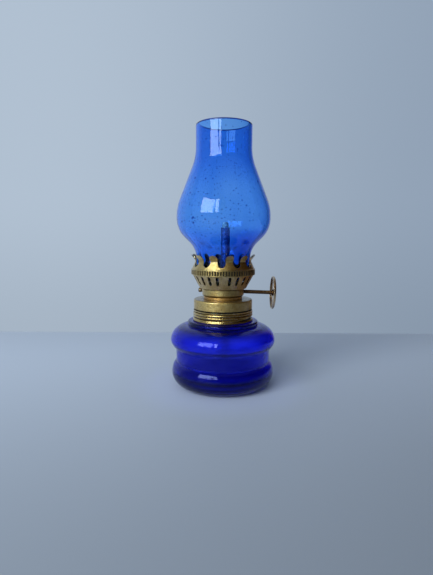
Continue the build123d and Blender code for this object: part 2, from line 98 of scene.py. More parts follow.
# ---------------------------------------------------------------- shader values
class Value:
    """One output of a shader node. Arithmetic on it adds Math nodes to the same tree."""

    def __init__(self, nodes, socket):
        self.nodes = nodes
        self.socket = socket

    def _math(self, operation, *operands):
        return self.nodes.node("ShaderNodeMath", {"operation": operation}, dict(enumerate(operands)))

    def __add__(self, other):
        return self._math("ADD", self, other)

    def __sub__(self, other):
        return self._math("SUBTRACT", self, other)

    def __rsub__(self, other):
        return self._math("SUBTRACT", other, self)

    def __mul__(self, other):
        return self._math("MULTIPLY", self, other)

    def __truediv__(self, other):
        return self._math("DIVIDE", self, other)

    def __pow__(self, other):
        return self._math("POWER", self, other)

    __radd__ = __add__
    __rmul__ = __mul__

    def between(self, low, high, start=0.0, end=1.0):
        """Smooth step from start to end as this value goes from low to high."""
        settings = {"interpolation_type": "SMOOTHSTEP"}
        inputs = {"Value": self, "From Min": low, "From Max": high, "To Min": start, "To Max": end}
        return self.nodes.node("ShaderNodeMapRange", settings, inputs)

    def most(self, other):
        return self._math("MAXIMUM", self, other)

    def bearing(self, across):
        """Angle round the axis of a point that lies this far ahead of it and so far across."""
        return self._math("ARCTAN2", self, across)


class NodeTree:
    """The nodes of a material or of the world, from an empty tree."""

    def __init__(self, tree):
        self.tree = tree
        tree.nodes.clear()

    def node(self, kind, settings=(), inputs=(), output=0):
        """Adds a node, sets its settings and then its sockets, and returns one of its outputs."""
        made = self.tree.nodes.new(kind)
        for name, setting in dict(settings).items():
            if name == "stops":
                self._stops(made.color_ramp, setting)
            else:
                setattr(made, name, setting)
        for name, value in dict(inputs).items():
            self.set_input(made.inputs[name], value)
        return Value(self, made.outputs[output])

    def _stops(self, ramp, stops):
        while len(ramp.elements) < len(stops):
            ramp.elements.new(0.5)
        for element, (place, colour) in zip(ramp.elements, stops):
            element.position = place
            element.color = (*colour, 1.0)

    def set_input(self, socket, value):
        """Links a value to a socket, or sets the socket to a number, a colour or a vector."""
        if isinstance(value, Value):
            self.tree.links.new(value.socket, socket)
        elif isinstance(value, (tuple, list)) and len(socket.default_value) == 4:
            socket.default_value = (*value, 1.0)
        else:
            socket.default_value = value

    def axes(self, point):
        """The three numbers of a point."""
        split = self.tree.nodes.new("ShaderNodeSeparateXYZ")
        self.set_input(split.inputs[0], point)
        return [Value(self, out) for out in split.outputs]

    def mix(self, amount, first, second):
        """Blend of two colours."""
        node = self.tree.nodes.new("ShaderNodeMix")
        node.data_type = "RGBA"
        colours = [socket for socket in node.inputs if socket.type == "RGBA"]
        self.set_input(node.inputs["Factor"], amount)
        self.set_input(colours[0], first)
        self.set_input(colours[1], second)
        return Value(self, next(out for out in node.outputs if out.type == "RGBA"))


class Finish(NodeTree):
    """A node material in the making, on one Principled shader."""

    def __init__(self, name, **constants):
        self.material = bpy.data.materials.new(name)
        self.material.use_nodes = True
        super().__init__(self.material.node_tree)
        self.output = self.tree.nodes.new("ShaderNodeOutputMaterial")
        self.shader = self.tree.nodes.new("ShaderNodeBsdfPrincipled")
        self.tree.links.new(self.shader.outputs[0], self.output.inputs["Surface"])
        for socket, value in constants.items():
            self.shader.inputs[socket.replace("_", " ")].default_value = value

    def feed(self, name, value):
        """Links a value to one of the shader's own sockets."""
        self.set_input(self.shader.inputs[name], value)

    def place(self, scale=(1.0, 1.0, 1.0)):
        """The point on the piece in metres, stretched along each axis."""
        coordinates = self.node("ShaderNodeTexCoord", output="Object")
        return self.node("ShaderNodeMapping", {"vector_type": "POINT"}, {"Vector": coordinates, "Scale": scale})

    def unrolled(self, radius):
        """The skin of a turned piece laid flat: the way round it at a radius, and the height."""
        across, ahead, height = self.axes(self.place())
        way = ahead.bearing(across) * radius
        return self.node("ShaderNodeCombineXYZ", {}, {"X": way, "Y": height})

    def noise(self, point, scale, detail=3.0, roughness=0.55):
        inputs = {"Vector": point, "Scale": scale, "Detail": detail, "Roughness": roughness}
        return self.node("ShaderNodeTexNoise", {}, inputs)

    def attribute(self, name):
        """A number that the mesh carries on its faces."""
        return self.node("ShaderNodeAttribute", {"attribute_name": name}, output="Fac")

    def openness(self, reach):
        """How open the surface is to its surroundings: 0 in a narrow crevice, 1 in the open."""
        return self.node("ShaderNodeAmbientOcclusion", {"samples": 8}, {"Distance": reach}, "AO")

    def absorb(self, colour, density):
        """Tints the light inside the glass, the more the longer its way through."""
        volume = self.tree.nodes.new("ShaderNodeVolumeAbsorption")
        volume.inputs["Color"].default_value = (*colour, 1.0)
        volume.inputs["Density"].default_value = density
        self.tree.links.new(volume.outputs[0], self.output.inputs["Volume"])

    def bump(self, height, distance):
        """Relief of the surface, its height in units of a distance in metres."""
        relief = self.node("ShaderNodeBump", {}, {"Strength": 1.0, "Distance": distance, "Height": height})
        self.feed("Normal", relief)


# ---------------------------------------------------------------- finishes
def dimmed(colour, share):
    """A colour at a share of its brightness."""
    return tuple(c * share for c in colour)


def toned(colour, shares):
    """A colour with its red, green and blue each at a share of their own."""
    return tuple(c * share for c, share in zip(colour, shares))


def glass_finish(name, body, density, ramp, deep, streak, ripple, sheen, inner_blur=0.0, seeds=0):
    """Coloured glass: its body absorbs light, and painted shade makes its skin deeper in tone at some heights.

    ramp holds (height in mm, share of the deep tone of painted shade) pairs, streak the stretch of its streaks along
    each axis, sheen the tint of reflections, inner_blur the roughness of the skin marked as the inner one, and
    seeds the cells per metre in which a seed may lie.
    """
    glass = Finish(name, Transmission_Weight=1.0, IOR=1.5, Specular_Tint=(*sheen, 1.0))
    glass.absorb(body, density)
    place = glass.place()
    across, _, height = glass.axes(place)
    low, high = ramp[0][0] * MM, ramp[-1][0] * MM
    stops = [((h * MM - low) / (high - low), (share,) * 3) for h, share in ramp]
    # Painted shade: the skin goes towards the deep tone by the share that the height ramp gives.
    share = glass.node("ShaderNodeValToRGB", {"stops": stops}, {"Fac": (height - low) / (high - low)})
    tone = glass.mix(share, (1.0, 1.0, 1.0), deep)
    streaks = glass.noise(glass.place(streak), 70.0, 2.0)
    tone = glass.mix(streaks.between(0.45, 0.75) * 0.25, tone, deep)
    if seeds:
        tone = seeds_and_shade(glass, tone, seeds, across, height)
    rough = glass.noise(place, 300.0).between(0.4, 0.9, 0.0, 0.03)
    if inner_blur:
        rough = rough + glass.attribute("inner") * inner_blur
    glass.feed("Base Color", tone)
    glass.feed("Roughness", rough)
    glass.bump(glass.noise(glass.place(streak), 140.0, 2.0), ripple)
    return glass.material


def seeds_and_shade(glass, tone, seeds, across, height):
    """Seeds in a blown chimney: dark specks in two sizes, smudges at its foot and a dark line on its rim.

    Painted shade darkens its lower right side, and a painted shadow darkens its foot where it stands inside the
    crown.
    """
    ash_and_shade = (0.02, 0.06, 0.25)
    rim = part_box("chimney")[1].z
    crown_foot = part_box("crown")[0].z
    belly_radius = 18 * MM
    flat = glass.unrolled(belly_radius)
    outer = 1.0 - glass.attribute("inner")
    left = across.between(-0.022, 0.014, 1.0, 0.5)
    for scale, chance, widest_seed in ((seeds, 0.2, 0.17), (seeds * 2.3, 0.34, 0.22)):
        settings = {"feature": "F1", "voronoi_dimensions": "2D"}
        inputs = {"Vector": flat, "Scale": scale, "Randomness": 1.0}
        cells = glass.node("ShaderNodeTexVoronoi", settings, inputs)
        lottery = glass.axes(glass.node("ShaderNodeTexVoronoi", settings, inputs, "Color"))[0]
        first = 1.0 - left * chance
        size = lottery.between(first, 1.0, 0.4 * widest_seed, widest_seed)
        drawn = lottery.between(first, first + 0.01) * outer
        tone = glass.mix(cells.between(0.7 * size, size, 1.0, 0.0) * drawn, tone, ash_and_shade)
    # Painted shade: the chimney's lower right side is darkened towards a deep blue.
    shade = across.between(-0.004, 0.012) * height.between(66 * MM, 75 * MM, 1.0, 0.0)
    tone = glass.mix(shade * 0.9, tone, (0.02, 0.28, 0.68))
    # Painted shadow: the chimney's foot, where it stands inside the crown, is darkened almost to the dark colour.
    burner = height.between(crown_foot, crown_foot + 4 * MM, 1.0, 0.0)
    tone = glass.mix(burner * 0.85, tone, ash_and_shade)
    clumps = glass.noise(flat, 330.0, 2.0).between(0.5, 0.66)
    foot = height.between(63.5 * MM, 65.5 * MM) * height.between(67 * MM, 68.5 * MM, 1.0, 0.0)
    tone = glass.mix(foot * clumps * 0.6, tone, ash_and_shade)
    dashes = glass.noise(flat, 900.0, 2.0).between(0.3, 0.55, 0.45, 1.0)
    return glass.mix(height.between(rim - 0.75 * MM, rim - 0.35 * MM) * dashes, tone, ash_and_shade)


def brass_finish(name, bright, dull, roughness, grain=0.00013, spots=0.65, right_shade=0.6, coat=0.8, grooves=(), bands=()):
    """Aged brass: cleaner and duller clouds, tarnished specks and a fine grain, with painted shade in crevices, in
    hollows and on its right side, and painted light on its left side.

    grooves holds the radii between which a ribbed band goes from black painted shade to none, and the band's top.
    bands holds the (height where it begins, height where it is full, colour) of each band of painted shade and
    reflection.
    """
    brass = Finish(name, Metallic=1.0, Coat_Weight=coat, Coat_Roughness=0.12)
    crevice, hollow = 2.0 * MM, 9.0 * MM
    place = brass.place()
    across, ahead, height = brass.axes(place)
    clouds = brass.noise(place, 300.0, 5.0, 0.65)
    specks = brass.noise(place, 1500.0, 3.0, 0.7)
    grit = brass.noise(place, 3600.0, 2.0, 0.5)
    brown = toned(dull, (0.36, 0.25, 0.15))
    tone = brass.mix(clouds.between(0.32, 0.68), bright, dull)
    # Painted shade: the right side of the piece is darkened to a browner tone.
    aged = across.between(0.002, 0.011)
    tone = brass.mix(aged * right_shade, tone, toned(dull, (1.0, 0.62, 0.3)))
    # Painted light: the left side of the piece is lightened to a paler tone.
    painted_left_light = across.between(-0.012, -0.003, 1.0, 0.0)
    tone = brass.mix(painted_left_light * 0.4, tone, toned(bright, (1.35, 1.38, 1.6)))
    # Painted bands of shade and of a warm reflection, each between its heights.
    for band_start, full_height, colour in bands:
        tone = brass.mix(height.between(band_start, full_height) * 0.9, tone, colour)
    worn = specks.between(0.5, 0.72) * spots
    tone = brass.mix(worn, tone, brown)
    # Painted shade: crevices and the gaps between parts are darkened.
    crevice_shade = 1.0 - brass.openness(crevice).between(0.35, 0.9)
    tone = brass.mix(crevice_shade * 0.9, tone, dimmed(brown, 0.3))
    # Painted shade: the hollows inside the piece are darkened almost to black.
    inside = 1.0 - brass.openness(hollow).between(0.05, 0.3)
    tone = brass.mix(inside * 0.9, tone, dimmed(brown, 0.15))
    rough = clouds.between(0.3, 0.75, roughness, roughness + 0.14) + worn * 0.35 + crevice_shade * 0.3
    # Painted shade: the gaps of a ribbed band are darkened, less on the lit left side.
    if grooves:
        deep, unshaded_radius, top = grooves
        radius = (across * across + ahead * ahead) ** 0.5
        groove = radius.between(deep, unshaded_radius, 1.0, 0.0) * height.between(top, top + 0.1 * MM, 1.0, 0.0)
        tone = brass.mix(groove * (0.92 - painted_left_light * 0.4), tone, dimmed(brown, 0.12))
        rough = rough + groove * 0.4 - radius.between(unshaded_radius, unshaded_radius + 0.005 * MM) * 0.06
    brass.feed("Base Color", tone)
    brass.feed("Roughness", rough)
    brass.bump(specks * 0.7 + clouds * 0.6 + grit * 0.35, grain)
    return brass.material


def cotton_finish():
    """Braided cotton, scorched a little at its burnt end."""
    cotton = Finish("braided_cotton", Roughness=0.9, Sheen_Weight=0.3)
    place = cotton.place()
    _, _, height = cotton.axes(place)
    fibres = cotton.noise(cotton.place((1.0, 1.0, 0.25)), 2600.0, 3.0)
    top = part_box("wick")[1].z
    scorch = height.between(top - 3 * MM, top, 0.0, 0.1)
    pale = cotton.mix(fibres.between(0.35, 0.65), (0.55, 0.47, 0.36), (0.90, 0.78, 0.60))
    cotton.feed("Base Color", cotton.mix(scorch, pale, (0.25, 0.24, 0.22)))
    cotton.bump(fibres, 0.00015)
    return cotton.material


# ---------------------------------------------------------------- modelling helpers
def deselect():
    """Leaves object mode with nothing selected."""
    if bpy.context.object and bpy.context.object.mode != "OBJECT":
        bpy.ops.object.mode_set(mode="OBJECT")
    bpy.ops.object.select_all(action="DESELECT")


def activate(piece):
    """Selects one piece alone and makes it the active one."""
    deselect()
    piece.select_set(True)
    bpy.context.view_layer.objects.active = piece


def dress(node, material):
    """Gives a CAD node its finish."""
    slots = frame["nodes"][node].data.materials
    slots.clear()
    slots.append(material)


def widest(node, low, high):
    """Largest distance of a CAD node's points from the lamp's axis, between two heights."""
    points = (vertex.co for vertex in frame["nodes"][node].data.vertices)
    return max(math.hypot(point.x, point.y) for point in points if low <= point.z <= high)


def finish_piece(piece, name, material, body, node):
    """Names a finished piece, gives it its finish and its body, and lets it stand in for a CAD node."""
    piece.name = name
    piece.data.name = name
    piece.data.materials.clear()
    piece.data.materials.append(material)
    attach(piece, body)
    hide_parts(node)


def close_skin(crease):
    """Takes the piece in edit mode, merges its doubled points, closes it and smooths it up to a crease in degrees."""
    bpy.ops.mesh.select_all(action="SELECT")
    bpy.ops.mesh.remove_doubles(threshold=WELD)
    bpy.ops.mesh.fill_holes(sides=0)
    bpy.ops.mesh.select_all(action="SELECT")
    bpy.ops.mesh.normals_make_consistent(inside=False)
    bpy.ops.object.mode_set(mode="OBJECT")
    bpy.ops.object.shade_smooth_by_angle(angle=math.radians(crease))


def spun_from(node, steps):
    """A turned piece spun anew from the seam of a CAD node, so that its skin is smooth and even."""
    piece = frame["nodes"][node].copy()
    piece.data = piece.data.copy()
    bpy.context.scene.collection.objects.link(piece)
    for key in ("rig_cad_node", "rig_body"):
        if key in piece:
            del piece[key]
    piece.parent = None
    piece.hide_render = False
    piece.hide_viewport = False
    activate(piece)
    bpy.ops.object.mode_set(mode="EDIT")
    bpy.ops.mesh.customdata_custom_splitnormals_clear()
    bpy.ops.mesh.select_mode(type="VERT")
    bpy.ops.mesh.select_all(action="SELECT")
    bpy.ops.mesh.remove_doubles(threshold=WELD)
    bpy.ops.mesh.select_all(action="DESELECT")
    bpy.ops.object.mode_set(mode="OBJECT")
    for vertex in piece.data.vertices:
        vertex.select = abs(vertex.co.y) > SEAM or vertex.co.x < -SEAM
    bpy.ops.object.mode_set(mode="EDIT")
    bpy.ops.mesh.delete(type="VERT")
    bpy.ops.mesh.select_all(action="SELECT")
    bpy.ops.mesh.delete(type="ONLY_FACE")
    bpy.ops.mesh.select_all(action="SELECT")
    bpy.ops.mesh.spin(steps=steps, angle=TURN, center=(0, 0, 0), axis=(0, 0, 1))
    close_skin(GLASS_CREASE)
    return piece


def at_along(path, place):
    """Height of a path of (place, height) points, between two of them in a straight line."""
    for (start, low), (end, high) in zip(path, path[1:]):
        if place <= end:
            return low + (high - low) * (place - start) / (end - start)
    return path[-1][1]


def mark_inner(piece):
    """Marks the faces that look towards the axis, as the attribute inner."""
    marks = piece.data.attributes.new("inner", "FLOAT", "FACE")
    for face in piece.data.polygons:
        inward = face.normal.x * face.center.x + face.normal.y * face.center.y < 0
        marks.data[face.index].value = 1.0 if inward else 0.0


def turned(outline, steps, centre=(0.0, 0.0), crease=TURNED_CREASE):
    """A turned skin: a circle at the first (radius, height) of an outline, extruded and resized to the next ones."""
    deselect()
    radius, height = outline[0]
    bpy.ops.mesh.primitive_circle_add(vertices=steps, radius=radius, location=(*centre, height))
    piece = bpy.context.object
    bpy.ops.object.transform_apply(location=True, rotation=True, scale=True)
    bpy.ops.object.mode_set(mode="EDIT")
    bpy.ops.mesh.select_all(action="SELECT")
    for next_radius, next_height in outline[1:]:
        rise = (0.0, 0.0, next_height - height)
        bpy.ops.mesh.extrude_region_move(TRANSFORM_OT_translate={"value": rise})
        share = next_radius / radius
        bpy.ops.transform.resize(value=(share, share, 1.0), center_override=(*centre, next_height))
        radius, height = next_radius, next_height
    close_skin(crease)
    return piece


# ---------------------------------------------------------------- settings
class LampStageSettings(bpy.types.PropertyGroup):
    camera_place: bpy.props.FloatVectorProperty(
        name="Camera Place", description="Where the camera stands", subtype="TRANSLATION", unit="LENGTH",
        default=(-0.00307, -0.201, 0.07015),
    )
    camera_pitch: bpy.props.FloatProperty(
        name="Camera Pitch", description="How far the camera looks down", subtype="ANGLE", default=math.radians(6.8)
    )
    camera_roll: bpy.props.FloatProperty(
        name="Camera Roll", description="Turn about the line of sight", subtype="ANGLE", default=math.radians(0.3)
    )
    camera_lens: bpy.props.FloatProperty(
        name="Lens", description="Focal length on a 36 mm sensor, in millimetres", default=26.98
    )
    table_colour: bpy.props.FloatVectorProperty(
        name="Table Colour", description="Colour of the table top", subtype="COLOR", default=(0.59, 0.63, 0.72)
    )
    table_edge: bpy.props.FloatProperty(
        name="Table Edge", description="How far behind the lamp the table ends", unit="LENGTH", default=0.108
    )
    window_light: bpy.props.FloatProperty(
        name="Window Light", description="Brightness of the window, where 1 is white", default=9.0
    )
    glow: bpy.props.FloatProperty(
        name="Backdrop Through Glass", description="Brightness of the backdrop as the glass shows it", default=1.35
    )
    dark_side: bpy.props.FloatProperty(
        name="Dark Side", description="Brightness of the room in front and to the right", default=0.04
    )
    ceiling: bpy.props.FloatProperty(name="Ceiling", description="Brightness of the ceiling", default=0.35)
    fill: bpy.props.FloatProperty(name="Fill", description="Soft light of the room on dull surfaces", default=0.7)


class LampGlassSettings(bpy.types.PropertyGroup):
    fount_body: bpy.props.FloatVectorProperty(
        name="Fount Body", description="Colour that the fount's glass lets through", subtype="COLOR",
        default=(0.54, 0.60, 0.994),
    )
    fount_density: bpy.props.FloatProperty(
        name="Fount Depth", description="How strongly the fount's glass absorbs, per metre", default=1850.0
    )
    chimney_body: bpy.props.FloatVectorProperty(
        name="Chimney Body", description="Colour that the chimney's glass lets through", subtype="COLOR",
        default=(0.02, 0.567, 0.979),
    )
    chimney_density: bpy.props.FloatProperty(
        name="Chimney Depth", description="How strongly the chimney's glass absorbs, per metre", default=600.0
    )
    seeds: bpy.props.FloatProperty(
        name="Seeds", description="Cells per metre in which a seed may lie", default=300.0
    )
    spin_steps: bpy.props.IntProperty(name="Spin Steps", description="Faces round each glass piece", default=192)


class LampBrassSettings(bpy.types.PropertyGroup):
    bright: bpy.props.FloatVectorProperty(
        name="Bright Brass", description="Colour of the cleanest brass", subtype="COLOR", default=(0.62, 0.455, 0.16)
    )
    dull: bpy.props.FloatVectorProperty(
        name="Dull Brass", description="Colour of the aged brass", subtype="COLOR", default=(0.37, 0.24, 0.065)
    )
    dark: bpy.props.FloatVectorProperty(
        name="Dark Brass", description="Colour of tarnished brass", subtype="COLOR", default=(0.15, 0.10, 0.055)
    )
    roughness: bpy.props.FloatProperty(name="Roughness", description="Roughness of the brass", default=0.31)
    steps: bpy.props.IntProperty(name="Steps", description="Faces round each turned piece", default=128)


# ---------------------------------------------------------------- operators
class LAMP_OT_fount(bpy.types.Operator):
    """Pressed cobalt fount with its two bulging rings"""

    bl_idname = "lamp.fount"
    bl_label = "Fount"

    def execute(self, context):
        glass = context.scene.lamp_glass
        # Painted shade: share of the deep tone at each height in mm, for the darker bands and lines of the fount's
        # glass.
        ramp = (
            (0, 0.85), (3.2, 0.85), (4.0, 1.0), (6.8, 1.0), (7.6, 0.45), (9.2, 0.18), (9.6, 0.55), (10.4, 0.55),
            (10.8, 0.2), (14.5, 0.2), (18.4, 0.45), (19.2, 0.35), (19.6, 0.85), (20.4, 0.85), (20.7, 0.1),
            (22, 0.0), (25.5, 0.0), (27.4, 0.55), (27.8, 0.85), (28.8, 0.85), (29.2, 0.5), (30, 0.55),
            (30.4, 0.8), (34.5, 0.8),
        )
        finish = glass_finish(
            "cobalt_glass", tuple(glass.fount_body), glass.fount_density, ramp, (0.02, 0.0, 0.1),
            streak=(1.0, 1.0, 5.0), ripple=0.00007, sheen=(0.38, 0.42, 0.95), inner_blur=0.42,
        )
        fount = spun_from("fount", glass.spin_steps)
        mark_inner(fount)
        finish_piece(fount, "glass_fount", finish, "base", "fount")
        return {"FINISHED"}


class LAMP_OT_chimney(bpy.types.Operator):
    """Blown chimney with seeds in the glass"""

    bl_idname = "lamp.chimney"
    bl_label = "Chimney"

    def execute(self, context):
        glass = context.scene.lamp_glass
        # Painted shade: share of the deep tone at each height in mm, darker towards the chimney's foot and its top.
        ramp = ((50, 1.0), (62, 0.85), (68, 0.6), (73, 0.25), (80, 0.1), (92, 0.12), (104, 0.6), (120, 0.7))
        finish = glass_finish(
            "seeded_blue_glass", tuple(glass.chimney_body), glass.chimney_density, ramp, (0.2, 0.5, 0.88),
            streak=(1.0, 1.0, 0.3), ripple=0.00006, sheen=(0.6, 0.62, 0.7), seeds=glass.seeds,
        )
        chimney = spun_from("chimney", glass.spin_steps)
        mark_inner(chimney)
        finish_piece(chimney, "glass_chimney", finish, "chimney", "chimney")
        return {"FINISHED"}


class LAMP_OT_collar(bpy.types.Operator):
    """Rolled collar with its thread, its cement and the sealing washer"""

    bl_idname = "lamp.collar"
    bl_label = "Collar and Seal"

    def execute(self, context):
        brass = context.scene.lamp_brass
        hem, _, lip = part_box("collar")[1]
        # Painted shade: the collar is darkened where it lies deeper than its beads, in the gaps of its thread.
        finish = brass_finish(
            "collar_brass", tuple(brass.bright), tuple(brass.dull), brass.roughness - 0.09,
            grain=0.00007, coat=0.5, grooves=(hem - 0.85 * MM, hem - 0.55 * MM, lip),
        )
        thread = ((-0.3, 2.3), (0.0, 2.45), (0.12, 2.6), (0.2, 2.75), (1.0, 3.7), (1.45, 4.2))
        run_out = ((-0.62, 0.5), (-0.5, 0.9), (-0.04, 0.9), (0.03, 1.3), (0.13, 2.2), (0.19, 2.7))
        beads = [self.bead(path) for path in (thread, run_out)]
        activate(self.wall(brass))
        for bead in beads:
            bead.select_set(True)
        bpy.ops.object.join()
        finish_piece(bpy.context.object, "rolled_collar", finish, "base", "collar")
        rubber = Finish("washer_rubber", Roughness=0.8, Specular_IOR_Level=0.1)
        grey = rubber.noise(rubber.place(), 900.0)
        rubber.feed("Base Color", rubber.mix(grey, (0.004, 0.003, 0.003), (0.012, 0.010, 0.009)))
        dress("sealing_washer", rubber.material)
        plaster = Finish("lamp_plaster", Roughness=0.9)
        grains = plaster.noise(plaster.place(), 1400.0, 4.0)
        plaster.feed("Base Color", plaster.mix(grains, (0.45, 0.42, 0.36), (0.62, 0.59, 0.52)))
        plaster.bump(grains, 0.00008)
        dress("collar_cement", plaster.material)
        return {"FINISHED"}

    def wall(self, brass):
        """The collar's sheet: a flared, rounded hem, a plain wall behind the thread and a rolled lip."""
        low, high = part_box("collar")
        hem = high.x
        sheet = 1.05 * MM
        bore = hem - sheet
        foot, lip = low.z, high.z
        outline = [
            (bore, foot),
            (hem - 0.35 * MM, foot),
            (hem - 0.08 * MM, foot + 0.12 * MM),
            (hem, foot + 0.4 * MM),
            (hem - 0.06 * MM, foot + 0.7 * MM),
            (hem - 0.25 * MM, foot + 0.95 * MM),
            (hem - 0.9 * MM, foot + 1.1 * MM),
            (hem - 0.9 * MM, lip - 0.9 * MM),
            (hem - 0.45 * MM, lip - 0.65 * MM),
            (hem - 0.28 * MM, lip - 0.4 * MM),
            (hem - 0.28 * MM, lip - 0.15 * MM),
            (hem - 0.45 * MM, lip),
            (bore, lip),
            (bore, foot),
        ]
        return turned(outline, brass.steps)

    def bead(self, path):
        """A rolled bead along (turns from the front, height over the foot in mm), climbing towards the right."""
        low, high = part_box("collar")
        per_turn = 64
        corners = 14
        bead_radius = 0.68 * MM
        count = round((path[-1][0] - path[0][0]) * per_turn)
        inset = 0.81 * MM
        radius = high.x - inset
        deselect()
        start = -TURN / 4 + path[0][0] * TURN
        height = low.z + path[0][1] * MM
        place = (radius * math.cos(start), radius * math.sin(start), height)
        bpy.ops.mesh.primitive_circle_add(
            vertices=corners, radius=bead_radius, location=place, rotation=(math.pi / 2, 0, start)
        )
        bead = bpy.context.object
        bpy.ops.object.transform_apply(location=True, rotation=True, scale=True)
        bpy.ops.object.mode_set(mode="EDIT")
        bpy.ops.mesh.select_all(action="SELECT")
        for step in range(1, count + 1):
            turns = path[0][0] + step / per_turn
            wanted = low.z + at_along(path, turns) * MM
            bpy.ops.mesh.extrude_region_move(TRANSFORM_OT_translate={"value": (0.0, 0.0, wanted - height)})
            bpy.ops.transform.rotate(
                value=-TURN / per_turn, orient_axis="Z", orient_type="GLOBAL", center_override=(0.0, 0.0, 0.0)
            )
            height = wanted
        close_skin(BEAD_CREASE)
        return bead


class LAMP_OT_burner(bpy.types.Operator):
    """Burner: cap, drum, basket, crown, plate and wick tube"""

    bl_idname = "lamp.burner"
    bl_label = "Burner"

    def execute(self, context):
        brass = context.scene.lamp_brass
        bright, dull, dark = tuple(brass.bright), tuple(brass.dull), tuple(brass.dark)
        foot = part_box("burner_drum")[0].z
        # Painted reflection: a warm orange band in the cove at the drum's foot; painted shadow: the drum's top under
        # the basket darkened.
        painted_cove_reflection = (foot + 1.5 * MM, foot + 1.1 * MM, (0.95, 0.52, 0.13))
        painted_drum_bands = (painted_cove_reflection, (foot + 4.7 * MM, foot + 4.9 * MM, dark))
        dress("burner_drum", brass_finish("drum_brass", bright, dull, brass.roughness, bands=painted_drum_bands))
        # Painted shade: the basket's right side is darkened almost fully.
        basket = brass_finish("basket_brass", (0.66, 0.50, 0.25), (0.44, 0.30, 0.12), 0.4, right_shade=0.95, coat=0.1)
        dress("air_basket", basket)
        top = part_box("burner_cap")[1].z
        # Painted shade: a darker band along the top of the cap, and its right side a little darker.
        painted_dark_top = ((top - 0.3 * MM, top - 0.1 * MM, (0.28, 0.20, 0.085)),)
        dress("burner_cap", brass_finish("cap_brass", bright, dull, brass.roughness + 0.08, right_shade=0.4, bands=painted_dark_top))
        band_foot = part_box("crown")[0].z
        rib_radius = widest("crown", band_foot, band_foot + 2 * MM)
        band_top = band_foot + 2.3 * MM
        # Painted shade: the gaps between the ribs of the crown's band are darkened almost to black.
        ribs = (rib_radius - 0.09 * MM, rib_radius - 0.005 * MM, band_top)
        dress("crown", brass_finish("crown_brass", bright, dull, brass.roughness - 0.04, grooves=ribs))
        inner = brass_finish("inner_brass", dull, dark, 0.4)
        for node in ("thread_ring", "shaft_bracket"):
            dress(node, inner)
        # The diffuser plate is painted near-black, as soot and as painted shade inside the burner.
        dress("diffuser_plate", brass_finish("soot_and_shade_brass", (0.10, 0.07, 0.04), (0.04, 0.03, 0.02), 0.5))
        # The wick tube is painted a dark blue-grey.
        blue_grey = brass_finish("blue_grey_brass", (0.26, 0.27, 0.40), (0.14, 0.15, 0.26), 0.2, spots=0.3, coat=0.1)
        dress("wick_tube", blue_grey)
        return {"FINISHED"}


class LAMP_OT_winder(bpy.types.Operator):
    """Winder: shaft, toothed wheel, knob and its collar"""

    bl_idname = "lamp.winder"
    bl_label = "Winder"

    def execute(self, context):
        brass = context.scene.lamp_brass
        finish = brass_finish("winder_brass", (0.30, 0.22, 0.12), tuple(brass.dark), 0.28, coat=0.1)
        for node in ("winder_shaft", "wick_wheel", "knob_collar"):
            dress(node, finish)
        # Painted light: the knob is painted in a far paler brass than the rest, for the bright face it turns to the
        # light.
        dress("knob", brass_finish("knob_brass", (0.85, 0.80, 0.62), (0.60, 0.52, 0.36), 0.2))
        return {"FINISHED"}


class LAMP_OT_wick(bpy.types.Operator):
    """Braided round wick with a frayed, burnt head that still slides down its tube"""

    bl_idname = "lamp.wick"
    bl_label = "Wick"

    def execute(self, context):
        steps = 64
        head_cuts = 2
        low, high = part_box("wick")
        centre = ((low.x + high.x) / 2, (low.y + high.y) / 2)
        radius = (high.x - low.x) / 2
        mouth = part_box("wick_tube")[1].z
        outline = [(radius, low.z), (radius, mouth - MM), (radius, mouth)]
        head = ((0.3, 1.6), (0.7, 1.64), (1.2, 1.66), (1.7, 1.64), (2.1, 1.58), (2.45, 1.4), (2.7, 1.05), (2.8, 0.5))
        outline += [(wide * MM, mouth + rise * MM) for rise, wide in head]
        wick = turned(outline, steps, centre, crease=WICK_CREASE)
        activate(wick)
        bpy.ops.object.mode_set(mode="EDIT")
        bpy.ops.mesh.select_all(action="DESELECT")
        bpy.ops.object.mode_set(mode="OBJECT")
        for face in wick.data.polygons:
            face.select = face.center.z > mouth
        bpy.ops.object.mode_set(mode="EDIT")
        bpy.ops.mesh.select_mode(type="FACE")
        bpy.ops.mesh.subdivide(number_cuts=head_cuts)
        bpy.ops.object.mode_set(mode="OBJECT")
        head_points = wick.vertex_groups.new(name="head")
        head_points.add([v.index for v in wick.data.vertices if v.co.z > mouth + 0.1 * MM], 1.0, "REPLACE")
        fray = bpy.data.textures.new("fray", "CLOUDS")
        fray.noise_scale = 0.0006
        fray.noise_depth = 2
        loose = wick.modifiers.new("fray", "DISPLACE")
        loose.texture = fray
        loose.vertex_group = head_points.name
        loose.strength = 0.5 * MM
        loose.mid_level = 0.95
        bpy.ops.object.modifier_apply(modifier=loose.name)
        finish_piece(wick, "frayed_wick", cotton_finish(), "wick", "wick")
        return {"FINISHED"}


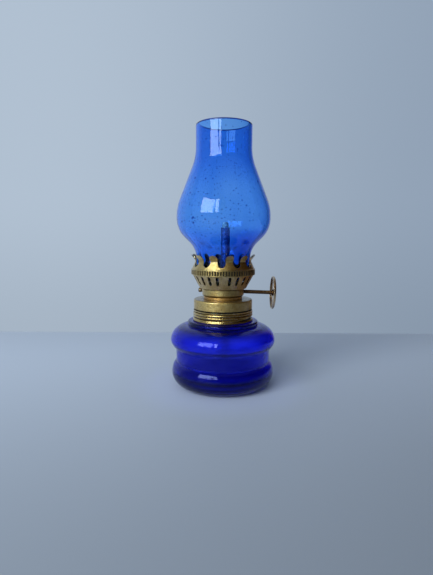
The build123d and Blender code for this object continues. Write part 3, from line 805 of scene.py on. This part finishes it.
class LAMP_OT_stage(bpy.types.Operator):
    """Table, room light, window and camera"""

    bl_idname = "lamp.stage"
    bl_label = "Stage"

    def execute(self, context):
        stage = context.scene.lamp_stage
        context.scene.view_settings.view_transform = "Standard"
        self.table(stage)
        self.room(stage)
        self.window(stage)
        self.camera(stage)
        return {"FINISHED"}

    def table(self, stage):
        """Plain table top that ends in a straight edge behind the lamp, with painted light: lighter far off and to
        the left, a pool of pale blue light round the lamp's foot, and a pale blue glow where glass shows it.
        """
        deselect()
        reach = 2.0
        drop = 0.02 * MM  # a hair under the foot, so that the two don't fight
        bpy.ops.mesh.primitive_plane_add(size=2 * reach, location=(0, stage.table_edge - reach, -drop))
        table = bpy.context.object
        bpy.ops.object.transform_apply(location=True, rotation=True, scale=True)
        table.name = "table_top"
        paint = Finish("table_paint", Roughness=0.65, Emission_Strength=1.0)
        place = paint.place()
        across, depth, _ = paint.axes(place)
        cloud = paint.noise(place, 3.0)
        # Painted light: the table is lighter far off and to the left, and darker near and to the right.
        far = depth.between(-0.17, 0.07, 0.0, 0.81)
        left = across.between(-0.10, 0.10, 0.25, 0.05)
        share = far + left + cloud * 0.04 - 0.07
        pale = tuple(stage.table_colour)
        # Painted light: a pool of pale blue light on the table round the lamp's foot.
        glow = ((across * across + depth * depth) ** 0.5).between(0.022, 0.048, 0.3, 0.0)
        plain = paint.mix(share, dimmed(pale, 0.35), pale)
        paint.feed("Base Color", paint.mix(glow, plain, (0.62, 0.66, 0.92)))
        # Painted light: the table glows pale blue in rays that come through glass.
        through = paint.node("ShaderNodeLightPath", output="Is Transmission Ray")
        paint.feed("Emission Color", paint.mix(through, (0.0, 0.0, 0.0), (0.5, 0.7, 0.95)))
        table.data.materials.append(paint.material)

    def room(self, stage):
        """Pale backdrop for the camera, and a room that is bright at the back and left and dark elsewhere."""
        world = bpy.data.worlds.new("room")
        bpy.context.scene.world = world
        world.use_nodes = True
        shade = NodeTree(world.node_tree)
        output = shade.tree.nodes.new("ShaderNodeOutputWorld")
        direction = shade.node("ShaderNodeTexCoord", output="Generated")
        across, ahead, up = shade.axes(direction)
        left = across.between(-0.4, 0.55, 1.0, 0.0)
        wall = shade.mix(left, (0.28, 0.355, 0.46), (0.44, 0.53, 0.64))
        low = up.between(-0.25, 0.1, 0.86, 1.0)
        seen = shade.node("ShaderNodeLightPath", output="Is Camera Ray")
        through = shade.node("ShaderNodeLightPath", output="Is Transmission Ray")
        mirrored = shade.node("ShaderNodeLightPath", output="Is Glossy Ray")
        behind = ahead.between(-0.1, 0.4, 0.0, 1.0)
        beside = across.between(-0.7, -0.3, 1.0, 0.0)
        right = across.between(0.3, 0.7, 0.0, 1.0)
        lit = behind.most(beside * 0.5) * (1.0 - right)
        overhead = up.between(0.45, 0.9, 0.0, 1.0) * stage.ceiling
        reflected = (lit * low).most(overhead).most(stage.dark_side)
        front_right = ahead.between(-0.6, 0.0, 1.0, 0.0) * across.between(-0.5, 0.0, 0.0, 1.0)
        warm = (right * (1.0 - overhead)).most(front_right)
        reflected_colour = shade.mix(warm, wall, (0.7, 0.5, 0.3))
        glassy = stage.glow * across.between(0.2, 0.9, 1.0, 0.6) * up.between(-0.5, -0.1, 0.7, 1.0)
        # Rays through glass count as glossy ones too, so they are told apart first.
        mirrored = mirrored * (1.0 - through) * (1.0 - seen)
        dull = (1.0 - mirrored) * (1.0 - through) * (1.0 - seen)
        level = seen * low + through * glassy + mirrored * reflected + dull * stage.fill
        colour = shade.mix(mirrored, wall, reflected_colour)
        background = shade.node("ShaderNodeBackground", {}, {"Color": colour, "Strength": level})
        shade.set_input(output.inputs["Surface"], background)

    def window(self, stage):
        """Two panes of a window, high on the left behind the camera, as angles seen from the lamp."""
        lamp_middle = Vector((0, 0, (CAD_BOX[0].z + CAD_BOX[1].z) / 2))
        distance = 0.7
        up_angle = math.radians(24.5)
        half_height = math.radians(14.7)
        tall = 2 * distance * math.tan(half_height)
        panes = (("window_pane", 41.0, 15.0), ("window_side_pane", 16.7, 3.8))
        for name, bearing, half_width in panes:
            light = bpy.data.lights.new(name, "AREA")
            light.shape = "RECTANGLE"
            light.size = 2 * distance * math.tan(math.radians(half_width))
            light.size_y = tall
            light.energy = stage.window_light * math.pi * light.size * light.size_y
            light.color = (0.84, 0.95, 1.0)
            lamp = bpy.data.objects.new(name, light)
            bpy.context.scene.collection.objects.link(lamp)
            lamp.visible_camera = False
            side = math.radians(bearing)
            flat = math.cos(up_angle)
            toward = Vector((-math.sin(side) * flat, -math.cos(side) * flat, math.sin(up_angle)))
            lamp.location = lamp_middle + toward * distance
            lamp.rotation_euler = toward.to_track_quat("Z", "Y").to_euler()

    def camera(self, stage):
        """Camera in front of the lamp, a little above it and looking slightly down."""
        data = bpy.data.cameras.new("camera")
        camera = bpy.data.objects.new("camera", data)
        bpy.context.scene.collection.objects.link(camera)
        data.sensor_width = 36.0
        data.lens = stage.camera_lens
        data.clip_start = 0.005
        data.clip_end = 20.0
        pitch = Matrix.Rotation(math.pi / 2 - stage.camera_pitch, 4, "X")
        roll = Matrix.Rotation(stage.camera_roll, 4, "Z")
        camera.matrix_world = Matrix.Translation(stage.camera_place) @ pitch @ roll
        bpy.context.scene.camera = camera


class LAMP_PT_panel(bpy.types.Panel):
    """Buttons that make the lamp, in order"""

    bl_idname = "LAMP_PT_panel"
    bl_label = "Oil Lamp"
    bl_space_type = "VIEW_3D"
    bl_region_type = "UI"
    bl_category = "Oil Lamp"

    def draw(self, context):
        for operator in OPERATORS:
            self.layout.operator(operator.bl_idname)
        for settings in SETTINGS:
            group = getattr(context.scene, settings)
            for name in group.__annotations__:
                self.layout.prop(group, name)


SETTINGS = {
    "lamp_stage": LampStageSettings,
    "lamp_glass": LampGlassSettings,
    "lamp_brass": LampBrassSettings,
}
OPERATORS = (
    LAMP_OT_fount,
    LAMP_OT_collar,
    LAMP_OT_burner,
    LAMP_OT_winder,
    LAMP_OT_wick,
    LAMP_OT_chimney,
    LAMP_OT_stage,
)


def register():
    for cls in (*SETTINGS.values(), *OPERATORS, LAMP_PT_panel):
        bpy.utils.register_class(cls)
    for name, settings in SETTINGS.items():
        setattr(bpy.types.Scene, name, bpy.props.PointerProperty(type=settings))


def unregister():
    for name in SETTINGS:
        delattr(bpy.types.Scene, name)
    for cls in (LAMP_PT_panel, *reversed(OPERATORS), *reversed(tuple(SETTINGS.values()))):
        bpy.utils.unregister_class(cls)


def main():
    register()
    for operator in OPERATORS:
        group, name = operator.bl_idname.split(".")
        getattr(getattr(bpy.ops, group), name)()


if __name__ == "__main__":
    main()
